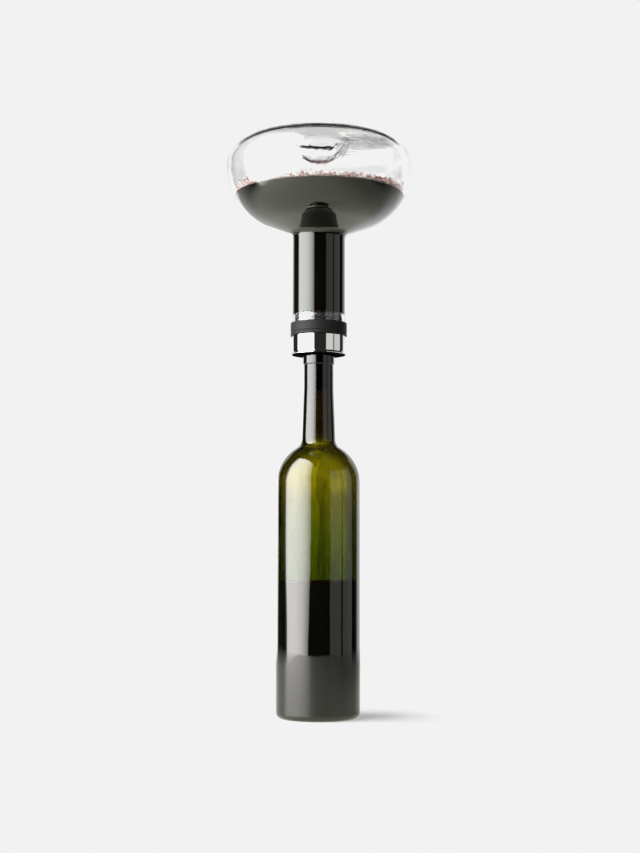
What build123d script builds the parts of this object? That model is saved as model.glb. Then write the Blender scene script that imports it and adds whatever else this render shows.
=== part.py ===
"""A wine breathing carafe standing upside down on a wine bottle.

The carafe is a wide blown-glass bowl with a straight neck. Its neck sits on a pourer, a black
moulded core in a polished steel sleeve, whose stopper closes the bottle's mouth. The pourer lifts
out of the bottle, the carafe turns on the pourer, and it pulls off upwards.

Z is up, and the origin is the centre of the bottle's foot. Lengths are in millimetres.
"""

import os
from math import cos, radians, sin, sqrt

from build123d import *

os.makedirs("parts", exist_ok=True)

# ---------------------------------------------------------------- driving dimensions

# Bottle: 750 ml, with a cork finish
BOTTLE_R = 37.0
BOTTLE_H = 333.6
BOTTLE_WALL = 3.5
BOTTLE_FLOOR = 4.5
FOOT_RING_R = 27.5
HEEL_FILLET = 5.0
BOTTLE_PUNT = 20.0
SHOULDER_Z = 205.5
NECK_ROOT_R = 14.9
NECK_ROOT_Z = 246.0
NECK_R = 13.2
NECK_TAPER_Z = 290.0
NECK_FILLET = 9.0
FINISH_R = 14.05
FINISH_Z = 311.3
BORE_R = 9.25
BORE_ROOT_R = 10.8
MOUTH_FILLET = 1.4
BOTTLE_WINE_Z = 118.4

# Carafe, upside down
CARAFE_TOP = 513.8
CARAFE_RIM_Z = 340.7
CARAFE_NECK_R = 23.3
CARAFE_WALL = 2.5
BOWL_R = 82.7
LOWER_BOWL_R = 53.4
UPPER_BOWL_R = 22.3
BOWL_BAND = 3.0
BOWL_SLOPE = 19.6
NECK_FLARE_R = 7.0
DOME_R = 25.5
DOME_DEPTH = 17.0
DOME_WALL = 5.5
DOME_SPREAD = 0.75  # how much wider the dome's edge gets per mm of depth into the glass
DOME_EDGE = 4.0
CARAFE_WINE_Z = 464.5
FOAM_H = 4.5
FOAM_W = 5.0

# Collar: steel sleeve and silicone cuff
LIP_Z = 320.3
LIP_R = 25.0
LIP_H = 2.6
SLEEVE_R = 23.7
SLEEVE_WALL = 0.8
BASE_CHAMFER = 0.5
CUFF_R = 25.2
CUFF_BOTTOM = 337.4
CUFF_TOP = 348.9
CUFF_GROOVE_Z = 340.4
CUFF_GROOVE = 0.5

# Pourer core: plug, deck, socket and stem
PLUG_R = 20.3
PLUG_TOP = 356.4
DECK_H = 3.1
SOCKET_R = 14.75
SOCKET_WALL = 2.4
SOCKET_BOTTOM = 323.2
PASSAGE_R = 8.0
FUNNEL_R = 17.0
FUNNEL_Z = 346.0
STRAINER_R = 12.5
STEM_R = 7.6
STEM_BORE_R = 6.2
STEM_BOTTOM = 312.0
TUBE_R = 2.25
TUBE_BORE_R = 1.65
TUBE_BOTTOM = 306.0
TUBE_TOP = 372.0
SPOKE_W = 1.6
SPOKE_H = 4.0
HUB_WALL = 1.0
SPOKES = 3

# Discs in the plug
SPREADER_H = 1.4
SPREADER_SLOTS = 12
SLOT_R = 11.5
SLOT_L = 7.0
SLOT_W = 2.6
STRAINER_H = 0.5
STRAINER_ROWS = ((4.3, 8), (7.0, 14), (9.7, 20))
STRAINER_HOLE_R = 0.8
CLIP_H = 1.2

# Seals
SEAL_H = 2.2
SEAL_DEPTH = 1.8
SEAL_ROUND = 0.5
LOWER_SEAL_Z = 343.2
UPPER_SEAL_Z = 350.6
GASKET_H = 1.4
STOPPER_LEN = 18.0
STOPPER_CORE_R = 8.5
STOPPER_RIBS = 4
STOPPER_RIB_H = 1.8
GRIP_RIBS = 3

# Gaps
BODY_GAP = 0.3      # between bodies that move apart
SEAL_GAP = 0.1      # between a seal and what it slides on
LINER_GAP = 0.1     # between the wine and its glass

# ---------------------------------------------------------------- derived places

punt_sphere_r = (FOOT_RING_R**2 + BOTTLE_PUNT**2) / (2 * BOTTLE_PUNT)
bore_r = CARAFE_NECK_R - CARAFE_WALL
bowl_turn = 90 - BOWL_SLOPE
equator_z = CARAFE_TOP - UPPER_BOWL_R - BOWL_BAND
flare_x = CARAFE_NECK_R + NECK_FLARE_R
slope = radians(BOWL_SLOPE)
flare_z = equator_z + (
    (flare_x - (BOWL_R - LOWER_BOWL_R)) * sin(slope) - LOWER_BOWL_R - NECK_FLARE_R
) / cos(slope)

sleeve_bore_r = SLEEVE_R - SLEEVE_WALL
sleeve_top = CUFF_BOTTOM - BODY_GAP
deck_top = sleeve_top - SLEEVE_WALL
deck_bottom = deck_top - DECK_H
socket_top = BOTTLE_H + GASKET_H + BODY_GAP
web_top = socket_top + DECK_H
spreader_z = PLUG_TOP - SPREADER_H
strainer_z = FUNNEL_Z
clip_z = strainer_z + STRAINER_H


# ---------------------------------------------------------------- shared outlines

def bottle_cavity(gap: float, top: float) -> Sketch:
    """Half section of the space in the bottle, gap clear of the glass and cut off at top."""
    body_r = BOTTLE_R - BOTTLE_WALL - gap
    root_r = BORE_ROOT_R - gap
    neck_r = BORE_R - gap
    shoulder_end = SHOULDER_Z + sqrt(body_r**2 - root_r**2)
    floor_z = BOTTLE_FLOOR + gap
    punt_r = punt_sphere_r + BOTTLE_WALL + gap
    punt_foot = sqrt(punt_r**2 - (floor_z - BOTTLE_PUNT + punt_sphere_r) ** 2)
    punt_top = BOTTLE_PUNT + BOTTLE_WALL + gap
    with BuildSketch(Plane.XZ) as section:
        with BuildLine():
            RadiusArc((0, punt_top), (punt_foot, floor_z), punt_r)
            Polyline((punt_foot, floor_z), (body_r, floor_z), (body_r, SHOULDER_Z))
            RadiusArc((body_r, SHOULDER_Z), (root_r, shoulder_end), -body_r)
            Polyline(
                (root_r, shoulder_end),
                (root_r, NECK_ROOT_Z),
                (neck_r, NECK_TAPER_Z),
                (neck_r, BOTTLE_H + 1),
                (0, BOTTLE_H + 1),
                (0, punt_top),
            )
        make_face()
        heel = section.vertices().sort_by_distance((body_r, floor_z, 0))[0]
        fillet(heel, BOTTLE_WALL)
        root = section.vertices().sort_by_distance((root_r, shoulder_end, 0))[0]
        fillet(root, NECK_FILLET + BOTTLE_WALL)
        with Locations((0, top)):
            Rectangle(BOTTLE_H, BOTTLE_H, align=(Align.CENTER, Align.MIN), mode=Mode.SUBTRACT)
    return section.sketch


def carafe_outline(inset: float, bottom: float) -> Sketch:
    """Half section of the carafe, inset from its outer face and cut off square at bottom."""
    base_z = CARAFE_TOP - inset
    dome_r = DOME_R + DOME_SPREAD * inset
    pole_z = CARAFE_TOP - DOME_DEPTH - inset * DOME_WALL / CARAFE_WALL
    sphere_r = (dome_r**2 + (base_z - pole_z) ** 2) / (2 * (base_z - pole_z))
    with BuildSketch(Plane.XZ) as section:
        with BuildLine():
            flare = CenterArc((flare_x, flare_z), NECK_FLARE_R + inset, 180, -bowl_turn)
            lower = CenterArc(
                (BOWL_R - LOWER_BOWL_R, equator_z), LOWER_BOWL_R - inset, -bowl_turn, bowl_turn
            )
            upper = CenterArc(
                (BOWL_R - UPPER_BOWL_R, equator_z + BOWL_BAND), UPPER_BOWL_R - inset, 0, 90
            )
            Line(flare @ 1, lower @ 0)
            Line(lower @ 1, upper @ 0)
            Line(upper @ 1, (dome_r, base_z))
            RadiusArc((dome_r, base_z), (0, pole_z), sphere_r)
            Polyline(
                (0, pole_z),
                (0, bottom),
                (CARAFE_NECK_R - inset, bottom),
                flare @ 0,
            )
        make_face()
        dome_corner = section.vertices().sort_by_distance((dome_r, base_z, 0))[0]
        fillet(dome_corner, DOME_EDGE)
    return section.sketch


def ring_section(inner_r: float, outer_r: float, low: float, high: float) -> Sketch:
    """Half section of a plain ring."""
    with BuildSketch(Plane.XZ) as section:
        with Locations((inner_r, low)):
            Rectangle(outer_r - inner_r, high - low, align=Align.MIN)
    return section.sketch


def seal_section(low: float) -> Sketch:
    """Half section of a neck seal: it fills its groove and nearly reaches the carafe's bore."""
    return ring_section(PLUG_R - SEAL_DEPTH, bore_r - SEAL_GAP, low, low + SEAL_H)


# ---------------------------------------------------------------- bottle

with BuildPart() as bottle_glass:
    with BuildSketch(Plane.XZ) as bottle_wall:
        shoulder_end_z = SHOULDER_Z + sqrt(BOTTLE_R**2 - NECK_ROOT_R**2)
        with BuildLine():
            RadiusArc((0, BOTTLE_PUNT), (FOOT_RING_R, 0), punt_sphere_r)
            Polyline((FOOT_RING_R, 0), (BOTTLE_R, 0), (BOTTLE_R, SHOULDER_Z))
            RadiusArc((BOTTLE_R, SHOULDER_Z), (NECK_ROOT_R, shoulder_end_z), -BOTTLE_R)
            Polyline(
                (NECK_ROOT_R, shoulder_end_z),
                (NECK_ROOT_R, NECK_ROOT_Z),
                (NECK_R, NECK_TAPER_Z),
                (NECK_R, FINISH_Z),
                (FINISH_R, FINISH_Z),
                (FINISH_R, BOTTLE_H),
                (0, BOTTLE_H),
                (0, BOTTLE_PUNT),
            )
        make_face()
        heel_corner = bottle_wall.vertices().sort_by_distance((BOTTLE_R, 0, 0))[0]
        fillet(heel_corner, HEEL_FILLET)
        root_corner = bottle_wall.vertices().sort_by_distance((NECK_ROOT_R, shoulder_end_z, 0))[0]
        fillet(root_corner, NECK_FILLET)
        mouth_corner = bottle_wall.vertices().sort_by_distance((FINISH_R, BOTTLE_H, 0))[0]
        fillet(mouth_corner, MOUTH_FILLET)
    revolve(axis=Axis.Z)
    revolve(bottle_cavity(0, BOTTLE_H + 1), axis=Axis.Z, mode=Mode.SUBTRACT)

with BuildPart() as wine_in_bottle:
    revolve(bottle_cavity(LINER_GAP, BOTTLE_WINE_Z), axis=Axis.Z)

# ---------------------------------------------------------------- pourer

# Sleeve: a thin tube, turned in at the top and flared out to a lip at the bottom
with BuildPart() as steel_sleeve:
    with BuildSketch(Plane.XZ) as sleeve_section:
        flare_start = (SLEEVE_R, LIP_Z + LIP_H)
        with BuildLine():
            outer_flare = TangentArc(flare_start, (LIP_R, LIP_Z + 0.3), tangent=(0, -1))
            inner_flare = TangentArc(
                (sleeve_bore_r, LIP_Z + LIP_H), (LIP_R - SLEEVE_WALL, LIP_Z), tangent=(0, -1)
            )
            Line(outer_flare @ 1, (LIP_R, LIP_Z))
            Line((LIP_R, LIP_Z), inner_flare @ 1)
            Polyline(
                inner_flare @ 0,
                (sleeve_bore_r, deck_top),
                (sleeve_bore_r - 1, deck_top),
                (sleeve_bore_r - 1, sleeve_top),
                (SLEEVE_R, sleeve_top),
                outer_flare @ 0,
            )
        make_face()
        rim_corner = sleeve_section.vertices().sort_by_distance((SLEEVE_R, sleeve_top, 0))[0]
        fillet(rim_corner, SLEEVE_WALL / 2)
    revolve(axis=Axis.Z)

# Core: plug in the carafe's neck, deck under it, socket over the bottle's mouth, stem in its bore
with BuildPart() as pourer_core:
    with BuildSketch(Plane.XZ) as core_section:
        with BuildLine():
            Polyline(
                (STEM_BORE_R, STEM_BOTTOM),
                (STEM_R, STEM_BOTTOM),
                (STEM_R, socket_top),
                (SOCKET_R, socket_top),
                (SOCKET_R, SOCKET_BOTTOM),
                (SOCKET_R + SOCKET_WALL, SOCKET_BOTTOM),
                (SOCKET_R + SOCKET_WALL, deck_bottom),
                (sleeve_bore_r, deck_bottom),
                (sleeve_bore_r, deck_top),
                (sleeve_bore_r - 1, deck_top),
                (sleeve_bore_r - 1, sleeve_top),
                (PLUG_R, sleeve_top),
                (PLUG_R, PLUG_TOP),
                (FUNNEL_R + SPREADER_H, PLUG_TOP),
                (FUNNEL_R + SPREADER_H, spreader_z),
                (FUNNEL_R, spreader_z),
                (STRAINER_R, clip_z + CLIP_H),
                (STRAINER_R, strainer_z),
                (PASSAGE_R, strainer_z),
                (PASSAGE_R, web_top),
                (STEM_BORE_R, web_top),
                close=True,
            )
        make_face()
        with Locations((PLUG_R, LOWER_SEAL_Z), (PLUG_R, UPPER_SEAL_Z)):
            Rectangle(2 * SEAL_DEPTH, SEAL_H, align=(Align.CENTER, Align.MIN), mode=Mode.SUBTRACT)
        plug_corner = core_section.vertices().sort_by_distance((PLUG_R, PLUG_TOP, 0))[0]
        chamfer(plug_corner, 0.8)
    revolve(axis=Axis.Z)
    # Spokes that hold the vent tube in the stem
    with BuildSketch(Plane.XY.offset(socket_top - SPOKE_H)):
        with PolarLocations(0, SPOKES):
            Rectangle(STEM_BORE_R + 0.5, SPOKE_W, align=(Align.MIN, Align.CENTER))
        Circle(TUBE_R + HUB_WALL)
        Circle(TUBE_R, mode=Mode.SUBTRACT)
    extrude(amount=SPOKE_H)

# Base ring: closes the underside and fills the sleeve's flare down to the lip
with BuildPart() as base_ring:
    with BuildSketch(Plane.XZ):
        with BuildLine():
            Polyline(
                (sleeve_bore_r, LIP_Z + LIP_H),
                (sleeve_bore_r, SOCKET_BOTTOM),
                (SOCKET_R + 0.2, SOCKET_BOTTOM),
                (SOCKET_R + 0.2, LIP_Z + BASE_CHAMFER),
                (SOCKET_R + 0.2 + BASE_CHAMFER, LIP_Z),
                (LIP_R - SLEEVE_WALL, LIP_Z),
            )
            TangentArc(
                (sleeve_bore_r, LIP_Z + LIP_H), (LIP_R - SLEEVE_WALL, LIP_Z), tangent=(0, -1)
            )
        make_face()
    revolve(axis=Axis.Z)

# Grip: a thin silicone lining of the socket, ribbed where it holds the bottle's finish
with BuildPart() as socket_grip:
    grip_low = SOCKET_BOTTOM + 1
    grip_pitch = (socket_top - 1 - grip_low) / GRIP_RIBS
    with BuildSketch(Plane.XZ):
        with Locations((FINISH_R + 2.5 * SEAL_GAP, grip_low)):
            Rectangle(
                SOCKET_R - FINISH_R - 2.5 * SEAL_GAP, grip_pitch * GRIP_RIBS, align=Align.MIN
            )
        for rib in range(GRIP_RIBS):
            with Locations((FINISH_R + SEAL_GAP, grip_low + (rib + 0.3) * grip_pitch)):
                Rectangle(SOCKET_R - FINISH_R - SEAL_GAP, grip_pitch * 0.4, align=Align.MIN)
    revolve(axis=Axis.Z)

with BuildPart() as mouth_gasket:
    revolve(ring_section(BORE_R, FINISH_R, BOTTLE_H + BODY_GAP, socket_top), axis=Axis.Z)

# Stopper: a silicone tube on the stem with soft ribs that fill the bottle's bore
with BuildPart() as bottle_stopper:
    stopper_top = STEM_BOTTOM + STOPPER_LEN
    rib_pitch = STOPPER_LEN / STOPPER_RIBS
    with BuildSketch(Plane.XZ):
        with Locations((STEM_R, STEM_BOTTOM)):
            Rectangle(STOPPER_CORE_R - STEM_R, STOPPER_LEN, align=Align.MIN)
        for rib in range(STOPPER_RIBS):
            with BuildLine():
                rib_z = STEM_BOTTOM + (rib + 0.5) * rib_pitch
                Polyline(
                    (STEM_R, rib_z - STOPPER_RIB_H / 2),
                    (BORE_R - SEAL_GAP - 0.5, rib_z - STOPPER_RIB_H / 2),
                    (BORE_R - SEAL_GAP, rib_z),
                    (BORE_R - SEAL_GAP, rib_z + STOPPER_RIB_H / 2),
                    (STEM_R, rib_z + STOPPER_RIB_H / 2),
                    close=True,
                )
            make_face()
    revolve(axis=Axis.Z)

with BuildPart() as vent_tube:
    revolve(ring_section(TUBE_BORE_R, TUBE_R, TUBE_BOTTOM, TUBE_TOP), axis=Axis.Z)

with BuildPart() as spreader:
    with BuildSketch(Plane.XY.offset(spreader_z)):
        Circle(FUNNEL_R + SPREADER_H)
        Circle(TUBE_R, mode=Mode.SUBTRACT)
        with PolarLocations(SLOT_R, SPREADER_SLOTS):
            SlotOverall(SLOT_L, SLOT_W, mode=Mode.SUBTRACT)
    extrude(amount=SPREADER_H)

with BuildPart() as strainer:
    with BuildSketch(Plane.XY.offset(strainer_z)):
        Circle(STRAINER_R)
        Circle(TUBE_R, mode=Mode.SUBTRACT)
        for row_r, row_holes in STRAINER_ROWS:
            with PolarLocations(row_r, row_holes):
                Circle(STRAINER_HOLE_R, mode=Mode.SUBTRACT)
    extrude(amount=STRAINER_H)

with BuildPart() as strainer_clip:
    revolve(ring_section(STRAINER_R - 1.2, STRAINER_R, clip_z, clip_z + CLIP_H), axis=Axis.Z)

# Seals: rings in the plug's two grooves, rounded where they meet the carafe's neck
with BuildPart() as lower_neck_seal:
    revolve(seal_section(LOWER_SEAL_Z), axis=Axis.Z)
    fillet(lower_neck_seal.edges().sort_by(SortBy.LENGTH)[-2:], SEAL_ROUND)

with BuildPart() as upper_neck_seal:
    revolve(seal_section(UPPER_SEAL_Z), axis=Axis.Z)
    fillet(upper_neck_seal.edges().sort_by(SortBy.LENGTH)[-2:], SEAL_ROUND)

# ---------------------------------------------------------------- neck ring

# Cuff: upper band, groove and a narrower band that flares a little at its lower edge
with BuildPart() as neck_cuff:
    cuff_bore_r = CARAFE_NECK_R + SEAL_GAP
    with BuildSketch(Plane.XZ) as cuff_section:
        with BuildLine():
            Polyline(
                (cuff_bore_r, CUFF_BOTTOM),
                (CUFF_R, CUFF_BOTTOM),
                (CUFF_R - 0.2, CUFF_GROOVE_Z - CUFF_GROOVE),
                (CUFF_R - CUFF_GROOVE, CUFF_GROOVE_Z),
                (CUFF_R - 0.1, CUFF_GROOVE_Z + CUFF_GROOVE),
                (CUFF_R - 0.1, CUFF_TOP),
                (cuff_bore_r, CUFF_TOP),
                close=True,
            )
        make_face()
        cuff_corner = cuff_section.vertices().sort_by_distance((CUFF_R, CUFF_TOP, 0))[0]
        fillet(cuff_corner, 0.8)
    revolve(axis=Axis.Z)

with BuildPart() as rim_cushion:
    revolve(
        ring_section(
            PLUG_R + BODY_GAP, CARAFE_NECK_R + SEAL_GAP, CUFF_BOTTOM, CARAFE_RIM_Z - BODY_GAP
        ),
        axis=Axis.Z,
    )

# ---------------------------------------------------------------- carafe

# Glass: an even wall that follows the outer face, with a thicker dome pushed into the flat base
with BuildPart() as carafe_glass:
    revolve(carafe_outline(0, CARAFE_RIM_Z), axis=Axis.Z)
    revolve(carafe_outline(CARAFE_WALL, CARAFE_RIM_Z), axis=Axis.Z, mode=Mode.SUBTRACT)
    rim_edges = carafe_glass.edges().group_by(Axis.Z)[0]
    fillet(rim_edges, CARAFE_WALL * 0.3)

with BuildPart() as wine_in_carafe:
    wine_bottom = PLUG_TOP + BODY_GAP
    revolve(carafe_outline(CARAFE_WALL + LINER_GAP, wine_bottom), axis=Axis.Z)
    with BuildSketch(Plane.XY.offset(CARAFE_WINE_Z)):
        Circle(BOWL_R)
    extrude(amount=BOWL_R, mode=Mode.SUBTRACT)
    with BuildSketch(Plane.XY.offset(wine_bottom)):
        Circle(TUBE_R + BODY_GAP)
    extrude(amount=TUBE_TOP + BODY_GAP - wine_bottom, mode=Mode.SUBTRACT)

with BuildPart() as foam_ring:
    foam_drop = equator_z - CARAFE_WINE_Z
    foam_turn_r = LOWER_BOWL_R - CARAFE_WALL - LINER_GAP
    foam_r = BOWL_R - LOWER_BOWL_R + sqrt(foam_turn_r**2 - foam_drop**2)
    revolve(
        ring_section(foam_r - FOAM_W, foam_r, CARAFE_WINE_Z, CARAFE_WINE_Z + FOAM_H), axis=Axis.Z
    )

# ---------------------------------------------------------------- labels and files

pieces = {
    "bottle_glass": bottle_glass,
    "wine_in_bottle": wine_in_bottle,
    "steel_sleeve": steel_sleeve,
    "pourer_core": pourer_core,
    "base_ring": base_ring,
    "socket_grip": socket_grip,
    "mouth_gasket": mouth_gasket,
    "bottle_stopper": bottle_stopper,
    "vent_tube": vent_tube,
    "spreader": spreader,
    "strainer": strainer,
    "strainer_clip": strainer_clip,
    "lower_neck_seal": lower_neck_seal,
    "upper_neck_seal": upper_neck_seal,
    "neck_cuff": neck_cuff,
    "rim_cushion": rim_cushion,
    "carafe_glass": carafe_glass,
    "wine_in_carafe": wine_in_carafe,
    "foam_ring": foam_ring,
}
for name, piece in pieces.items():
    piece.part.label = name
    export_step(piece.part, f"parts/{name}.step")
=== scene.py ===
"""Looks for a wine breathing carafe that stands upside down on a wine bottle.

The bottle, the carafe and what is in them are turned glass shells, liquid faces and bubbles. The
collar between them is the CAD model's own, with better finishes. Lengths in the outlines are
millimetres; everything in Blender is metres.
"""

import math
import random

import bmesh
import bpy
from mathutils import Matrix, Vector


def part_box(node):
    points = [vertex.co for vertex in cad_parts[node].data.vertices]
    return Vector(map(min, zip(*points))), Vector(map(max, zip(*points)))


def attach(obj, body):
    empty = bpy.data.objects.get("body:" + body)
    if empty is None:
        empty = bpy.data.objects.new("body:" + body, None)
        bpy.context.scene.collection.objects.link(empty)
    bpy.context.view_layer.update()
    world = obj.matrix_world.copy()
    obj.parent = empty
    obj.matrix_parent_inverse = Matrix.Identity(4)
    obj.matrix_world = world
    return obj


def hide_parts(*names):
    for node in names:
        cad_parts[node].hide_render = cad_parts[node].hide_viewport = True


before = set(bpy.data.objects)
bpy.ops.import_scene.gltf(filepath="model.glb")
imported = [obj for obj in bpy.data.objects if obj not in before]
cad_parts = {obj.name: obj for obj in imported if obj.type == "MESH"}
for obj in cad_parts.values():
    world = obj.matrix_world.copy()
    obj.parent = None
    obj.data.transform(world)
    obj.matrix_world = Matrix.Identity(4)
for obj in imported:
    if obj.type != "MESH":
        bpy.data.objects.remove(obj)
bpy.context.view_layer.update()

# ------------------------------------------------------------------ sizes, in millimetres

MM = 0.001


def span(node):
    """Radius, bottom and top of a turned CAD node."""
    low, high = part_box(node)
    return high.x / MM, low.z / MM, high.z / MM


BOTTLE_R, _, BOTTLE_TOP = span("bottle_glass")
_, _, BOTTLE_WINE_Z = span("wine_in_bottle")
BOWL_R, CARAFE_RIM_Z, CARAFE_TOP = span("carafe_glass")
_, CARAFE_WINE_LOW, CARAFE_WINE_Z = span("wine_in_carafe")
TUBE_R, _, TUBE_TOP = span("vent_tube")

BOTTLE_WALL = 3.5
BOTTLE_FLOOR = 4.5
BOTTLE_PUNT = 20.0
FOOT_RING_R = 27.5
HEEL_R = 5.0
SHOULDER_Z = 205.5
NECK_ROOT_R = 14.9
NECK_ROOT_Z = 246.0
NECK_R = 13.2
NECK_TAPER_Z = 290.0
NECK_FILLET = 9.0
FINISH_R = 14.05
FINISH_Z = 311.3
BORE_R = 9.25
BORE_ROOT_R = 10.8
RING_STEP = 0.4           # slope under the finish ring
RING_ROOT_R = 0.25
RING_R = 0.35
MOUTH_R = 1.4

NECK_OUT_R = 23.3
CARAFE_WALL = 2.5
CARAFE_RIM_R = 0.3 * CARAFE_WALL
LOWER_BOWL_R = 53.4
UPPER_BOWL_R = 22.3
BOWL_BAND = 3.0
BOWL_SLOPE = math.radians(19.6)
NECK_FLARE_R = 7.0
DOME_R = 25.5
DOME_DEPTH = 17.0
DOME_WALL = 5.5           # thickness of the glass at the dome's middle
DOME_SPREAD = 0.75        # how much wider the dome is inside, as a share of the inset
DOME_EDGE = 4.0

TURN_STEPS = 192          # faces round a turned piece
SECTORS = 12              # equal parts that it is put together from
LIQUID_GAP = 0.02         # between a liquid and the glass round it
TUBE_GAP = 0.3            # between the carafe's wine and the vent tube
WINE_STAIN = 1.0          # how far under the carafe's waterline its dark face ends
MENISCUS = 1.4            # how far a liquid climbs its glass
FOAM_SECTORS = 40         # parts that the ring of foam is made in
FOAM_SEED = 11

# ------------------------------------------------------------------ outlines


def arc(centre, radius, start, end, steps):
    """Points on an arc from start to end, in degrees."""
    points = []
    for step in range(steps + 1):
        turn = math.radians(start + (end - start) * step / steps)
        points.append((centre[0] + radius * math.cos(turn), centre[1] + radius * math.sin(turn)))
    return points


def run(start, end, steps=1, guard=0.3):
    """Points on a straight run, with a guard point near each end that keeps its shading flat."""
    length = math.dist(start, end)
    if length < 3 * guard:
        return [start, end]
    shares = [0, guard / length]
    shares += [step / steps for step in range(1, steps)]
    shares += [1 - guard / length, 1]
    return [tuple(a + (b - a) * share for a, b in zip(start, end)) for share in shares]


def rounded(corners, radii, steps=6):
    """Straight runs through corners, each corner rounded by its radius."""
    points = [corners[0]]
    for before, corner, after, radius in zip(corners, corners[1:], corners[2:], radii):
        if not radius:
            points.append(corner)
            continue
        into = (Vector(corner) - Vector(before)).normalized()
        out = (Vector(after) - Vector(corner)).normalized()
        turn = into.angle_signed(out)
        reach = radius * math.tan(abs(turn) / 2)
        side = 1 if turn < 0 else -1
        start = Vector(corner) - into * reach
        centre = start + Vector((-into.y, into.x)) * radius * side
        begin = math.degrees(math.atan2(start.y - centre.y, start.x - centre.x))
        points += arc(centre, radius, begin, begin - math.degrees(turn), steps)
    points.append(corners[-1])
    spaced = []
    for start, end in zip(points, points[1:]):
        spaced += run(start, end)[:-1]
    return spaced + [points[-1]]


def carafe_face(inset):
    """The carafe's face from rim height to the dome's middle, inset from the outer face."""
    equator_z = CARAFE_TOP - UPPER_BOWL_R - BOWL_BAND
    lower_x = BOWL_R - LOWER_BOWL_R
    flare_x = NECK_OUT_R + NECK_FLARE_R
    reach = (flare_x - lower_x) * math.sin(BOWL_SLOPE) - LOWER_BOWL_R - NECK_FLARE_R
    flare_z = equator_z + reach / math.cos(BOWL_SLOPE)
    turn = 90 - math.degrees(BOWL_SLOPE)
    base_z = CARAFE_TOP - inset
    flare = arc((flare_x, flare_z), NECK_FLARE_R + inset, 180, 180 - turn, 14)
    lower = arc((lower_x, equator_z), LOWER_BOWL_R - inset, -turn, 0, 40)
    upper = arc((BOWL_R - UPPER_BOWL_R, equator_z + BOWL_BAND), UPPER_BOWL_R - inset, 0, 90, 28)
    # The dome's edge is an arc that touches the flat base and the dome's sphere
    dome_r = DOME_R + DOME_SPREAD * inset
    pole_z = CARAFE_TOP - DOME_DEPTH - inset * DOME_WALL / CARAFE_WALL
    sphere_r = (dome_r**2 + (base_z - pole_z) ** 2) / (2 * (base_z - pole_z))
    sphere_z = pole_z + sphere_r
    edge_z = base_z - DOME_EDGE
    edge_x = math.sqrt((sphere_r + DOME_EDGE) ** 2 - (sphere_z - edge_z) ** 2)
    lean = math.degrees(math.atan2(sphere_z - edge_z, -edge_x))
    edge = arc((edge_x, edge_z), DOME_EDGE, 90, lean, 10)
    dome = arc((0, sphere_z), sphere_r, lean - 180, -90, 20)
    neck = run((NECK_OUT_R - inset, CARAFE_RIM_Z), flare[0], 24)
    points = neck + flare[1:] + run(flare[-1], lower[0], 6)[1:] + lower[1:]
    points += run(lower[-1], upper[0])[1:] + upper[1:]
    points += run(upper[-1], edge[0], 8)[1:] + edge[1:] + dome[1:]
    points[-1] = (0, points[-1][1])
    return points


def bottle_face(wall):
    """The bottle's face from under its finish ring down to the punt, wall inside the outer one."""
    slack = wall - BOTTLE_WALL if wall else 0
    body_r = BOTTLE_R - wall
    root_r = BORE_ROOT_R - slack if wall else NECK_ROOT_R
    top_r = BORE_R - slack if wall else NECK_R
    heel_r = BOTTLE_WALL if wall else HEEL_R
    floor_z = BOTTLE_FLOOR + slack if wall else 0
    # Arc that joins the shoulder's sphere to the neck
    blend_r = NECK_FILLET + (BOTTLE_WALL if wall else 0)
    blend_x = root_r + blend_r
    blend_z = SHOULDER_Z + math.sqrt((body_r + blend_r) ** 2 - blend_x**2)
    lean = math.degrees(math.atan2(blend_z - SHOULDER_Z, blend_x))
    blend = arc((blend_x, blend_z), blend_r, 180, 180 + lean, 12)
    shoulder = arc((0, SHOULDER_Z), body_r, lean, 0, 30)
    punt_r = (FOOT_RING_R**2 + BOTTLE_PUNT**2) / (2 * BOTTLE_PUNT)
    punt_z = BOTTLE_PUNT - punt_r
    foot = math.degrees(math.asin((floor_z - punt_z) / (punt_r + wall)))
    punt = arc((0, punt_z), punt_r + wall, foot, 90, 20)
    heel = arc((body_r - heel_r, floor_z + heel_r), heel_r, 0, -90, 10)
    neck = run((top_r, NECK_TAPER_Z), (root_r, NECK_ROOT_Z), 8)
    neck += run((root_r, NECK_ROOT_Z), blend[0])[1:]
    points = neck + blend[1:] + shoulder[1:]
    points += run(shoulder[-1], heel[0], 24)[1:] + heel[1:]
    points += run(heel[-1], punt[0])[1:] + punt[1:]
    points[-1] = (0, points[-1][1])
    return points


def bottle_finish():
    """Neck, finish ring and mouth, from the outer taper up and over into the bore."""
    corners = [
        (NECK_R, NECK_TAPER_Z),
        (NECK_R, FINISH_Z),
        (FINISH_R, FINISH_Z + RING_STEP),
        (FINISH_R, BOTTLE_TOP),
        (BORE_R, BOTTLE_TOP),
        (BORE_R, NECK_TAPER_Z),
    ]
    return rounded(corners, [RING_ROOT_R, RING_R, MOUTH_R, MOUTH_R])


def cut(points, z):
    """Splits an outline where it first crosses height z: both halves hold the crossing point."""
    for number, (before, after) in enumerate(zip(points, points[1:])):
        if (before[1] - z) * (after[1] - z) <= 0 and before[1] != after[1]:
            share = (z - before[1]) / (after[1] - before[1])
            crossing = (before[0] + (after[0] - before[0]) * share, z)
            return points[: number + 1] + [crossing], [crossing] + points[number + 1 :]
    raise ValueError(f"the outline never crosses {z}")


def meniscus(edge_r, surface_z):
    """A liquid's surface from its climb at the glass, edge_r, to the axis."""
    climb = []
    for step in range(11):
        away = MENISCUS * 3 * step / 10
        rise = MENISCUS * math.exp(-away / (0.45 * MENISCUS))
        climb.append((edge_r - away, surface_z + rise))
    inner_r, inner_z = climb[-1]
    return climb + [(inner_r * share, inner_z) for share in (0.75, 0.5, 0.25, 0)]


# ------------------------------------------------------------------ meshes


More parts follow.
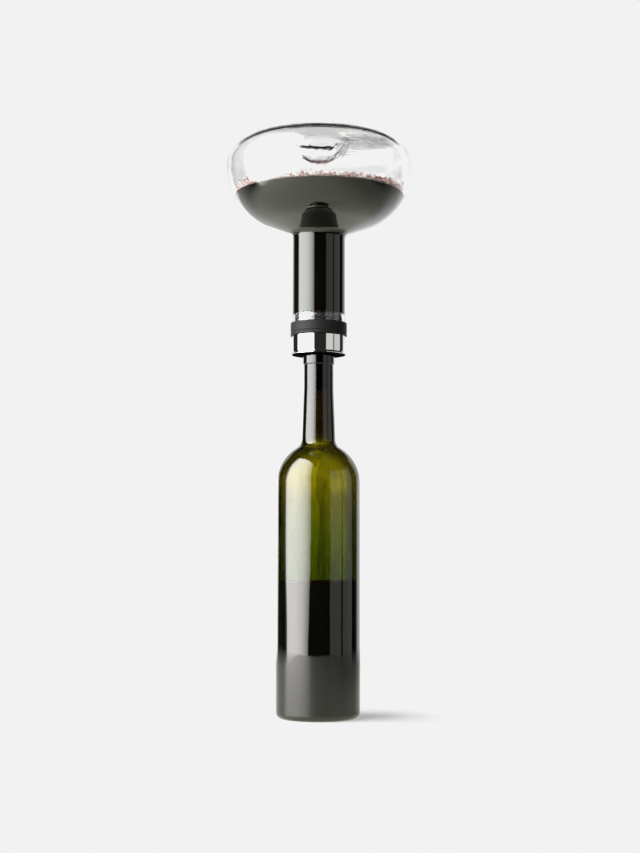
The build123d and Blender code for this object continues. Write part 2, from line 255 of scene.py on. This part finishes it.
def repeated(bm, part, turns):
    """Adds a part to a bmesh, in that many copies evenly round the axis, and frees the part."""
    mesh = bpy.data.meshes.new("part")
    part.to_mesh(mesh)
    part.free()
    for _ in range(turns):
        bm.from_mesh(mesh)
        mesh.transform(Matrix.Rotation(2 * math.pi / turns, 4, "Z"))
    bpy.data.meshes.remove(mesh)


def turned(strips):
    """Spins strips of outline, each with its finish's number, into one closed mesh on the axis."""
    bm = bmesh.new()
    for points, finish in strips:
        sector = bmesh.new()
        verts = [sector.verts.new((r * MM, 0, z * MM)) for r, z in points]
        edges = [sector.edges.new(pair) for pair in zip(verts, verts[1:])]
        bmesh.ops.spin(
            sector,
            geom=verts + edges,
            cent=(0, 0, 0),
            axis=(0, 0, 1),
            dvec=(0, 0, 0),
            angle=2 * math.pi / SECTORS,
            steps=TURN_STEPS // SECTORS,
        )
        for face in sector.faces:
            face.material_index = finish
        repeated(bm, sector, SECTORS)
    bmesh.ops.remove_doubles(bm, verts=bm.verts, dist=1e-7)
    bmesh.ops.recalc_face_normals(bm, faces=bm.faces)
    return bm


def placed(name, bm, body, nodes, finishes):
    """Turns a bmesh into a smooth piece that rides on a body and stands for CAD nodes."""
    mesh = bpy.data.meshes.new(name)
    bm.to_mesh(mesh)
    bm.free()
    mesh.shade_smooth()
    piece = bpy.data.objects.new(name, mesh)
    bpy.context.scene.collection.objects.link(piece)
    for finish in finishes:
        mesh.materials.append(finish)
    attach(piece, body)
    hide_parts(*nodes)
    return piece


# ------------------------------------------------------------------ shader writing


class Socket:
    """An output in a node tree. Arithmetic on it adds Math nodes."""

    def __init__(self, shader, output):
        self.shader = shader
        self.output = output

    def __add__(self, other):
        return self.shader.maths("ADD", self, other)

    def __radd__(self, other):
        return self.shader.maths("ADD", other, self)

    def __sub__(self, other):
        return self.shader.maths("SUBTRACT", self, other)

    def __rsub__(self, other):
        return self.shader.maths("SUBTRACT", other, self)

    def __mul__(self, other):
        return self.shader.maths("MULTIPLY", self, other)

    def __rmul__(self, other):
        return self.shader.maths("MULTIPLY", other, self)

    def __truediv__(self, other):
        return self.shader.maths("DIVIDE", self, other)


class Shader:
    """A node tree that is being written."""

    def __init__(self, tree):
        self.tree = tree
        tree.nodes.clear()

    def node(self, kind, settings=None, values=None, output=0):
        """Adds a node: its settings first, then its sockets' values or links."""
        made = self.tree.nodes.new(kind)
        for name, value in (settings or {}).items():
            if name == "stops":
                self.set_stops(made.color_ramp, value)
            else:
                setattr(made, name, value)
        for name, value in (values or {}).items():
            self.feed(made.inputs[name], value)
        return Socket(self, made.outputs[output]) if made.outputs else None

    def feed(self, socket, value):
        """Links a Socket to a node's input, or sets the input's value."""
        if isinstance(value, Socket):
            self.tree.links.new(value.output, socket)
        elif socket.type == "RGBA" and len(value) == 3:
            socket.default_value = (*value, 1)
        else:
            socket.default_value = value

    def set_stops(self, ramp, stops):
        """Fills a colour ramp with stops of (place, grey or colour)."""
        while len(ramp.elements) < len(stops):
            ramp.elements.new(0.5)
        for element, (place, colour) in zip(ramp.elements, stops):
            grey = isinstance(colour, (int, float))
            element.position = place
            element.color = (colour, colour, colour, 1) if grey else (*colour, 1)

    def maths(self, operation, *values):
        """Adds a Math node."""
        return self.node("ShaderNodeMath", {"operation": operation}, dict(enumerate(values)))

    def ramp(self, value, *stops):
        """A colour ramp over a value."""
        return self.node("ShaderNodeValToRGB", {"stops": stops}, {"Fac": value})

    def rise(self, value, start, end):
        """Goes smoothly from 0 at start to 1 at end, or back where end is lower."""
        return self.node(
            "ShaderNodeMapRange",
            {"interpolation_type": "SMOOTHSTEP"},
            {"Value": value, "From Min": start, "From Max": end},
        )

    def mixed(self, share, low, high, how="MIX"):
        """Mixes two colours."""
        return self.node(
            "ShaderNodeMix",
            {"data_type": "RGBA", "blend_type": how},
            {0: share, 6: low, 7: high},
            output=2,
        )

    def place(self, scale=(1, 1, 1)):
        """The point on the piece, in metres, scaled."""
        point = self.node("ShaderNodeTexCoord", output=3)
        return self.node("ShaderNodeMapping", {}, {"Vector": point, "Scale": scale})

    def height(self):
        """Height on the piece, in metres."""
        point = self.node("ShaderNodeTexCoord", output=3)
        return self.node("ShaderNodeSeparateXYZ", {}, {0: point}, output=2)

    def noise(self, point, scale, detail=2.0, roughness=0.5, distortion=0.0):
        """Cloudy noise from 0 to 1, about 0.5."""
        values = {"Vector": point, "Scale": scale, "Detail": detail}
        values.update({"Roughness": roughness, "Distortion": distortion})
        return self.node("ShaderNodeTexNoise", {}, values)

    def bump(self, height, strength, distance):
        """A normal that follows a height."""
        values = {"Height": height, "Strength": strength, "Distance": distance}
        return self.node("ShaderNodeBump", {}, values)

    def surface(self, **values):
        """Ends a material in a Principled shader: underscores in the names stand for spaces."""
        named = {name.replace("_", " "): value for name, value in values.items()}
        shaded = self.node("ShaderNodeBsdfPrincipled", {}, named)
        self.node("ShaderNodeOutputMaterial", {}, {"Surface": shaded})


def new_material(name):
    """A new material and the Shader that writes it."""
    material = bpy.data.materials.new(name)
    material.use_nodes = True
    return material, Shader(material.node_tree)


# ------------------------------------------------------------------ materials

# Heights of the carafe's ripples and swirls in hundredths of a metre, and a swirl's place in metres
BOWL_RIPPLE = 0.02
DOME_SWIRL = 0.05
SPOT_SWIRL = 0.26
SPOT_PLACE = (0.04, -0.012, 0.51)
GLASS_IOR = 1.5
WINE_IOR = 1.35
WATER_IOR = 1.33


def clear_glass():
    """Blown clear glass: faint ripples, and swirls where the base was worked."""
    material, shader = new_material("clear_glass")
    wave = shader.noise(shader.place((1, 1, 0.6)), 38, 2, 0.5, 0.4)
    level = {0: shader.place((1, 1, 0))}
    centre = shader.node("ShaderNodeVectorMath", {"operation": "LENGTH"}, level, output=1)
    swirl = shader.noise(shader.place((1, 1, 0.5)), 60, 2, 0.5, 1.2) * DOME_SWIRL
    swirl = swirl * shader.rise(centre, 0.055, 0.03) * shader.rise(shader.height(), 0.48, 0.49)
    away = {0: shader.place(), 1: SPOT_PLACE}
    off = shader.node("ShaderNodeVectorMath", {"operation": "DISTANCE"}, away, output=1)
    knot = shader.noise(shader.place(), 95, 3, 0.6, 2.0)
    swirl = swirl + knot * shader.rise(off, 0.034, 0.008) * SPOT_SWIRL
    shader.surface(
        Base_Color=shader.ramp(wave, (0.3, (0.975, 0.985, 0.98)), (0.7, (0.99, 0.995, 0.99))),
        Roughness=0.0,
        IOR=GLASS_IOR,
        Transmission_Weight=1.0,
        Normal=shader.bump(wave * BOWL_RIPPLE + swirl, 1.0, 0.01),
    )
    return material


def green_glass():
    """Olive bottle glass, mottled with amber, darker at the sides, with painted shade by the wine and
    in the neck and a painted lighter band at the shoulder.
    """
    material, shader = new_material("green_glass")
    point = shader.place((1, 1, 0.55))
    mottle = shader.noise(point, 75, 3, 0.6, 0.8)
    drift = shader.noise(point, 16, 2)
    olive = shader.ramp(mottle, (0.35, (0.085, 0.09, 0.0006)), (0.68, (0.18, 0.165, 0.002)))
    colour = shader.mixed(drift * 0.4, olive, (0.19, 0.11, 0.0012))
    # Painted light and shade over the height: darker by the wine, a lighter band at the shoulder,
    # darkest in the neck
    share = shader.height() / (BOTTLE_TOP * MM)
    painted_light_and_shade = shader.ramp(
        share,
        (0.35, (0.11, 0.19, 0.09)),
        (0.5, (0.25, 0.34, 0.25)),
        (0.57, (0.42, 0.45, 0.3)),
        (0.64, (0.85, 0.82, 0.5)),
        (0.695, (0.92, 0.92, 0.56)),
        (0.72, (0.6, 0.55, 0.5)),
        (0.735, (0.08, 0.07, 0.15)),
        (0.76, (0.04, 0.03, 0.05)),
    )
    # Light that crosses the wall at a slant goes through more glass
    aslant = shader.node("ShaderNodeLayerWeight", {}, {"Blend": 0.5}, output=1)
    dim = shader.mixed(0.88, painted_light_and_shade, (0, 0, 0))
    painted_light_and_shade = shader.mixed(shader.rise(aslant, 0.22, 0.4), painted_light_and_shade, dim)
    shader.surface(
        Base_Color=shader.mixed(1.0, colour, painted_light_and_shade, "MULTIPLY"),
        Roughness=0.0,
        IOR=GLASS_IOR,
        Transmission_Weight=1.0,
        Normal=shader.bump(drift + mottle * 0.15, 0.04, 0.01),
    )
    return material


def inner_glass():
    """The bottle's inner face: the same glass, its tint already in the outer face."""
    material, shader = new_material("bottle_inner_glass")
    wave = shader.noise(shader.place((1, 1, 0.5)), 55, 2)
    shader.surface(
        Base_Color=shader.ramp(wave, (0.3, (0.95, 0.96, 0.86)), (0.7, (0.98, 0.98, 0.92))),
        Roughness=0.0,
        IOR=GLASS_IOR,
        Transmission_Weight=1.0,
        Normal=shader.bump(wave, 0.05, 0.01),
    )
    return material


def filled_glass(name, tint, ripple, sheen):
    """Glass with red wine right behind it: black, with the glass's gloss."""
    material, shader = new_material(name)
    wave = shader.noise(shader.place((1, 1, 0.5)), 34, 2)
    dark = tuple(part * 0.4 for part in tint)
    shader.surface(
        Base_Color=shader.ramp(wave, (0.3, dark), (0.75, tint)),
        Roughness=0.015,
        IOR=GLASS_IOR,
        Specular_Tint=sheen,
        Normal=shader.bump(wave, ripple, 0.01),
    )
    return material


def red_wine():
    """Red wine, nearly black in bulk, with a red edge."""
    material, shader = new_material("red_wine")
    cloud = shader.noise(shader.place(), 30, 2)
    shader.surface(
        Base_Color=shader.ramp(cloud, (0.3, (0.010, 0.0012, 0.0016)), (0.8, (0.03, 0.002, 0.004))),
        Roughness=0.02,
        IOR=WINE_IOR,
    )
    return material


def wine_foam():
    """Foam bubbles: thin pink skins, each a little different, with white patches that partly paint
    highlights and dark brown patches that partly paint shade.
    """
    material, shader = new_material("wine_foam")
    # Pink is the foam's own colour; the white patches partly stand for painted highlights, and the dark
    # brown ones for painted shaded rims
    foam_tone_and_highlight = shader.noise(shader.place(), 480, 2, 0.6)
    colour = shader.ramp(
        foam_tone_and_highlight, (0.38, (0.22, 0.07, 0.05)), (0.46, (0.66, 0.36, 0.3)), (0.5, (1.0, 0.97, 0.96))
    )
    shader.surface(Base_Color=colour, Roughness=0.02, IOR=WATER_IOR, Transmission_Weight=0.9)
    return material


def steel(name, shade, smooth):
    """Turned and polished stainless steel: fine rings round the piece."""
    material, shader = new_material(name)
    rings = shader.noise(shader.place((1, 1, 60)), 40, 3, 0.6)
    smudge = shader.noise(shader.place(), 60, 2)
    pale = tuple(part * 1.04 for part in shade)
    shader.surface(
        Base_Color=shader.ramp(smudge, (0.3, shade), (0.7, pale)),
        Metallic=1.0,
        Roughness=smooth + rings * 0.012 + smudge * 0.01,
        Normal=shader.bump(rings, 0.01, 0.001),
    )
    return material


def silicone():
    """Matte black silicone: a soft bloom and a very fine grain."""
    material, shader = new_material("black_silicone")
    bloom = shader.noise(shader.place((1, 1, 3)), 90, 3, 0.6)
    grain = shader.noise(shader.place(), 2400, 2, 0.7)
    colour = shader.ramp(bloom, (0.3, (0.0045, 0.0045, 0.0045)), (0.75, (0.0075, 0.0075, 0.007)))
    shader.surface(
        Base_Color=colour,
        Roughness=0.5 + bloom * 0.16,
        Specular_IOR_Level=0.13,
        Normal=shader.bump(grain, 0.12, 0.0004),
    )
    return material


def black_plastic(name, gloss):
    """Moulded black plastic with a fine spark-eroded grain."""
    material, shader = new_material(name)
    cloud = shader.noise(shader.place(), 120, 2)
    grain = shader.noise(shader.place(), 1800, 2, 0.6)
    shader.surface(
        Base_Color=shader.ramp(cloud, (0.3, (0.002, 0.002, 0.002)), (0.8, (0.004, 0.004, 0.004))),
        Roughness=0.3 + cloud * 0.12,
        Specular_IOR_Level=gloss,
        Normal=shader.bump(grain, 0.06, 0.0003),
    )
    return material


# ------------------------------------------------------------------ pieces


def make_carafe(clear, filled):
    """The carafe's glass: clear rim, wine behind the neck and lower bowl, clear upper bowl."""
    outer = carafe_face(0)
    inner = carafe_face(CARAFE_WALL)
    _, outer = cut(outer, CARAFE_RIM_Z + 2 * CARAFE_RIM_R)
    _, inner = cut(inner, CARAFE_RIM_Z + 2 * CARAFE_RIM_R)
    rim_z = CARAFE_RIM_Z + CARAFE_RIM_R
    rim = arc((NECK_OUT_R - CARAFE_RIM_R, rim_z), CARAFE_RIM_R, 0, -90, 6)
    rim += arc((NECK_OUT_R - CARAFE_WALL + CARAFE_RIM_R, rim_z), CARAFE_RIM_R, -90, -180, 6)
    rim = [outer[0]] + rim + [inner[0]]
    below, above = cut(outer, CARAFE_WINE_LOW)
    full, empty = cut(above, CARAFE_WINE_Z - WINE_STAIN)
    bm = turned([(rim, 0), (below, 0), (full, 1), (empty, 0), (inner, 0)])
    return placed("carafe_shell", bm, "carafe", ["carafe_glass"], [clear, filled])


def make_bottle(glass, inside, filled):
    """The bottle's glass: green above the wine, black where the wine stands behind it."""
    outer = bottle_face(0)
    inner = bottle_face(BOTTLE_WALL)
    empty, full = cut(outer, BOTTLE_WINE_Z)
    bm = turned([(bottle_finish(), 0), (empty, 0), (full, 1), (inner, 2)])
    finishes = [glass, filled, inside]
    return placed("bottle_shell", bm, "bottle", ["bottle_glass"], finishes)


def make_bottle_wine(wine):
    """The wine in the bottle, with its surface climbing the glass a little."""
    _, wall = cut(bottle_face(BOTTLE_WALL + LIQUID_GAP), BOTTLE_WINE_Z)
    surface = meniscus(wall[0][0], BOTTLE_WINE_Z)
    bm = turned([(surface[::-1] + wall, 0)])
    return placed("bottle_wine", bm, "bottle", ["wine_in_bottle"], [wine])


def make_carafe_wine(wine):
    """The wine in the carafe: it stands on the pourer's plug, round the vent tube."""
    hole_r = TUBE_R + TUBE_GAP
    hole_z = TUBE_TOP + TUBE_GAP
    _, wall = cut(carafe_face(CARAFE_WALL + LIQUID_GAP), CARAFE_WINE_LOW)
    wall, _ = cut(wall, CARAFE_WINE_Z)
    hole = [(0, hole_z), (hole_r, hole_z), (hole_r, CARAFE_WINE_LOW)]
    bm = turned([(hole + wall + meniscus(wall[-1][0], CARAFE_WINE_Z), 0)])
    return placed("carafe_wine", bm, "carafe", ["wine_in_carafe"], [wine])


def make_foam(foam):
    """Bubbles along the waterline, thickest at the left and right."""
    chance = random.Random(FOAM_SEED)
    wall_r = BOWL_R - LOWER_BOWL_R
    drop = CARAFE_TOP - UPPER_BOWL_R - BOWL_BAND - CARAFE_WINE_Z
    wall_r += math.sqrt((LOWER_BOWL_R - CARAFE_WALL) ** 2 - drop**2)
    bm = bmesh.new()
    for sector in range(FOAM_SECTORS):
        part = bmesh.new()
        turn = 2 * math.pi * sector / FOAM_SECTORS
        end = turn + 2 * math.pi / FOAM_SECTORS
        while turn < end:
            crowd = 0.25 + 0.75 * abs(math.cos(turn)) ** 3
            rows = 4 + int(4 * crowd * chance.random())
            for row in range(rows):
                size = 0.45 + 1.6 * chance.random() ** 2.2
                away = size + 0.05 + row * 0.4 * chance.random()
                lift = size * 0.6 + row * (0.6 + 0.6 * chance.random())
                side = turn + chance.uniform(-0.006, 0.006)
                r = wall_r + lift * 0.6 - away
                place = Vector((r * math.cos(side), r * math.sin(side), CARAFE_WINE_Z + lift))
                bmesh.ops.create_uvsphere(
                    part,
                    u_segments=8,
                    v_segments=5,
                    radius=size * MM,
                    matrix=Matrix.Translation(place * MM),
                )
            turn += chance.uniform(0.016, 0.03)
        repeated(bm, part, 1)
    return placed("foam_bubbles", bm, "carafe", ["foam_ring"], [foam])


def finish_node(material, *names):
    """Gives CAD nodes that keep their shape a better material."""
    for name in names:
        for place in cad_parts[name].material_slots:
            place.material = material


wine = red_wine()
carafe = make_carafe(
    clear_glass(),
    filled_glass("glass_over_wine", (0.0012, 0.001, 0.0008), 0.004, (0.98, 1.0, 0.93)),
)
bottle = make_bottle(
    green_glass(),
    inner_glass(),
    filled_glass("green_glass_over_wine", (0.001, 0.0011, 0.0005), 0.02, (1.0, 0.98, 0.93)),
)
make_bottle_wine(wine)
make_carafe_wine(wine)
make_foam(wine_foam())
# The shells let light through, so they throw no shadow of their own
for shell in (carafe, bottle):
    shell.visible_shadow = False

finish_node(steel("polished_steel", (0.72, 0.71, 0.69), 0.004), "steel_sleeve")
finish_node(steel("plain_steel", (0.55, 0.54, 0.52), 0.16), "vent_tube", "strainer")
rubber = silicone()
finish_node(rubber, "neck_cuff", "rim_cushion", "socket_grip", "mouth_gasket", "bottle_stopper")
finish_node(rubber, "lower_neck_seal", "upper_neck_seal")
finish_node(black_plastic("satin_black_plastic", 0.5), "pourer_core", "spreader", "strainer_clip")
finish_node(black_plastic("dull_black_plastic", 0.0), "base_ring")

# ------------------------------------------------------------------ studio

# Lengths are metres. The softbox and the panels are placed in degrees round from the camera.
FLOOR_R = 1.15
FLOOR_SINK = 0.0002       # keeps the table out of the foot ring's face
FLOOR_SEEN = (0.05, 0.125)    # where the table fades out for the camera
FLOOR_FADE = 0.9          # where it starts to fade out in reflections
FLOOR_GLOW = 0.45
FLOOR_PAINTED_SHEEN = 0.85        # painted sheen that reflections add to that glow
FLOOR_TINT = (1.0, 1.0, 0.8)
CEILING = 0.03            # glow of the dark parts of the studio
BELOW_GLOW = 1.45         # glow of the backdrop under the table's height
SOFTBOX_W = 2.0
SOFTBOX_H = 2.15
SOFTBOX_DROP = 0.25       # how far it reaches under the table's height
SOFTBOX_AWAY = 1.0
SOFTBOX_TURN = -60.0      # minus is to the left
SOFTBOX_GLOW = 15.6
SOFTBOX_PINCH = 0.22      # how much narrower its lowest part is
# Places from left to right across the softbox, and its share of glow there
SOFTBOX_FADE = [
    (0.02, 0.0),
    (0.03, 0.09),
    (0.09, 0.1),
    (0.13, 0.75),
    (0.25, 0.9),
    (0.45, 1.0),
    (0.54, 0.96),
    (0.62, 0.88),
    (0.7, 0.76),
    (0.79, 0.55),
    (0.85, 0.4),
    (0.905, 0.25),
    (0.925, 0.0),
]
# Start, end and softness of the sides, sine of the lowest and highest elevation, glow
PANELS = [
    (-240, -143, 2, -0.1, 0.12, 2.8),
    (131, 240, 7, -0.1, 0.12, 1.5),
    (-240, -143, 2, 0.12, 0.5, 1.06),
    (131, 240, 7, 0.12, 0.5, 1.06),
    (32.5, 66, 1, -0.1, 0.5, 0.9),
    (71, 105, 1, -0.1, 0.5, 0.85),
]
LENS = 63.73              # focal length in millimetres
CAMERA_PLACE = (0.0013, -1.338, 0.1416)
CAMERA_TILT = 94.9        # degrees, and 90 looks level
CAMERA_ROLL = 0.12
WHITE_LEVEL = 0.888       # how bright the picture shows pure white


def make_floor():
    """A pale table that fades out into the white backdrop, soon for the camera, far for reflections,
    where it shows painted light on the softbox's side.
    """
    bm = bmesh.new()
    bmesh.ops.create_circle(bm, cap_ends=True, segments=96, radius=FLOOR_R)
    mesh = bpy.data.meshes.new("floor")
    bm.to_mesh(mesh)
    bm.free()
    floor = bpy.data.objects.new("floor", mesh)
    bpy.context.scene.collection.objects.link(floor)
    floor.location.z = -FLOOR_SINK
    material, shader = new_material("white_table")
    point = shader.node("ShaderNodeTexCoord", output=3)
    away = shader.node("ShaderNodeVectorMath", {"operation": "LENGTH"}, {0: point}, output=1)
    grain = shader.noise(point, 300, 2)
    pale = shader.ramp(grain, (0, 0.27), (1, 0.29))
    lit = shader.node("ShaderNodeBsdfDiffuse", {}, {"Color": pale})
    calm = shader.node("ShaderNodeEmission", {}, {"Strength": FLOOR_GLOW})
    plain = shader.node("ShaderNodeAddShader", {}, {0: lit, 1: calm})
    sheen = {"Color": (0.85, 0.85, 0.85), "Roughness": 0.5}
    gloss = shader.node("ShaderNodeBsdfGlossy", {}, sheen)
    fresnel = shader.node("ShaderNodeLayerWeight", {}, {"Blend": 0.35}, output=0)
    x, y = (shader.node("ShaderNodeSeparateXYZ", {}, {0: point}, output=axis) for axis in (0, 1))
    # In reflections the table glows brighter on the softbox's side: a painted pool of its light plus a
    # painted sheen
    glow = (FLOOR_GLOW + FLOOR_PAINTED_SHEEN) * (1 - shader.rise(x, 0.05, 0.6) * 0.6)
    painted_softbox_glow = shader.node("ShaderNodeEmission", {}, {"Color": FLOOR_TINT, "Strength": glow})
    base = shader.node("ShaderNodeAddShader", {}, {0: lit, 1: painted_softbox_glow})
    bright = shader.node("ShaderNodeMixShader", {}, {0: fresnel, 1: base, 2: gloss})
    seen = shader.node("ShaderNodeLightPath", output=0)
    table = shader.node("ShaderNodeMixShader", {}, {0: seen, 1: bright, 2: plain})
    side = shader.maths("ABSOLUTE", shader.maths("ARCTAN2", x, -1 * y))
    apart = shader.rise(side, 0.8, 1.7)
    end = (away - FLOOR_FADE + apart * 0.3) / (0.05 + apart * 0.5)
    edge = seen * shader.rise(away, *FLOOR_SEEN) + (1 - seen) * shader.rise(end, 0, 1)
    nothing = shader.node("ShaderNodeBsdfTransparent")
    mixed = shader.node("ShaderNodeMixShader", {}, {0: edge, 1: table, 2: nothing})
    shader.node("ShaderNodeOutputMaterial", {}, {"Surface": mixed})
    mesh.materials.append(material)


def make_world():
    """White to the camera. Other rays find a dark studio with a white backdrop and two panels."""
    world = bpy.data.worlds.new("studio")
    world.use_nodes = True
    bpy.context.scene.world = world
    shader = Shader(world.node_tree)
    aim = shader.node("ShaderNodeTexCoord", output=0)
    parts = shader.tree.nodes.new("ShaderNodeSeparateXYZ")
    shader.feed(parts.inputs[0], aim)
    x, y, z = (Socket(shader, output) for output in parts.outputs)
    side = shader.maths("ARCTAN2", x, -1 * y) * (180 / math.pi)
    light = CEILING
    for start, end, soft, low, top, strength in PANELS:
        band = shader.rise(side, start - soft, start + soft)
        band = band * shader.rise(side, end + soft, end - soft)
        height = shader.rise(z, low - 0.01, low + 0.01) * shader.rise(z, top + 0.03, top - 0.03)
        light = light + band * height * (strength - CEILING)
    below = shader.rise(shader.maths("ABSOLUTE", side), 85, 160) * shader.rise(z, -0.07, -0.12)
    light = light + below * BELOW_GLOW
    seen = shader.node("ShaderNodeLightPath", output=0)
    shown = seen + (1 - seen) * light
    glow = shader.node("ShaderNodeBackground", {}, {"Color": (1, 1, 1), "Strength": shown})
    shader.node("ShaderNodeOutputWorld", {}, {"Surface": glow})


def make_softbox():
    """The big soft light on the left, from under the table's height to high over the object."""
    lamp = bpy.data.lights.new("softbox", "AREA")
    lamp.shape = "RECTANGLE"
    lamp.size = SOFTBOX_W
    lamp.size_y = SOFTBOX_H
    lamp.energy = SOFTBOX_GLOW * math.pi * SOFTBOX_W * SOFTBOX_H
    lamp.use_nodes = True
    shader = Shader(lamp.node_tree)
    spot = shader.node("ShaderNodeNewGeometry", output=5)
    across = shader.node("ShaderNodeSeparateXYZ", {}, {0: spot}, output=0)
    up = shader.node("ShaderNodeSeparateXYZ", {}, {0: spot}, output=1)
    width = 1 - shader.rise(up, 0.2, 0.1) * SOFTBOX_PINCH
    fade = shader.ramp((across - 0.5) / width + 0.5, *SOFTBOX_FADE)
    glow = shader.node("ShaderNodeEmission", {}, {"Strength": fade})
    shader.node("ShaderNodeOutputLight", {}, {"Surface": glow})
    box = bpy.data.objects.new("softbox", lamp)
    bpy.context.scene.collection.objects.link(box)
    turn = math.radians(SOFTBOX_TURN)
    aim = Vector((math.sin(turn), -math.cos(turn), 0))
    box.location = aim * SOFTBOX_AWAY + Vector((0, 0, SOFTBOX_H / 2 - SOFTBOX_DROP))
    box.rotation_euler = aim.to_track_quat("Z", "Y").to_euler()
    box.visible_camera = False


def make_camera():
    """A long lens a little under the bottle's middle, looking slightly up."""
    lens = bpy.data.cameras.new("camera")
    lens.lens = LENS
    camera = bpy.data.objects.new("camera", lens)
    bpy.context.scene.collection.objects.link(camera)
    camera.location = CAMERA_PLACE
    tilt = Matrix.Rotation(math.radians(CAMERA_TILT), 3, "X")
    roll = Matrix.Rotation(math.radians(CAMERA_ROLL), 3, "Z")
    camera.rotation_euler = (tilt @ roll).to_euler()
    bpy.context.scene.camera = camera


make_floor()
make_world()
make_softbox()
make_camera()

view = bpy.context.scene.view_settings
view.view_transform = "Standard"
view.look = "None"
view.use_curve_mapping = True
view.curve_mapping.extend = "HORIZONTAL"
white_end = view.curve_mapping.curves[3].points[-1]
white_end.location = (1.0, WHITE_LEVEL)
view.curve_mapping.update()
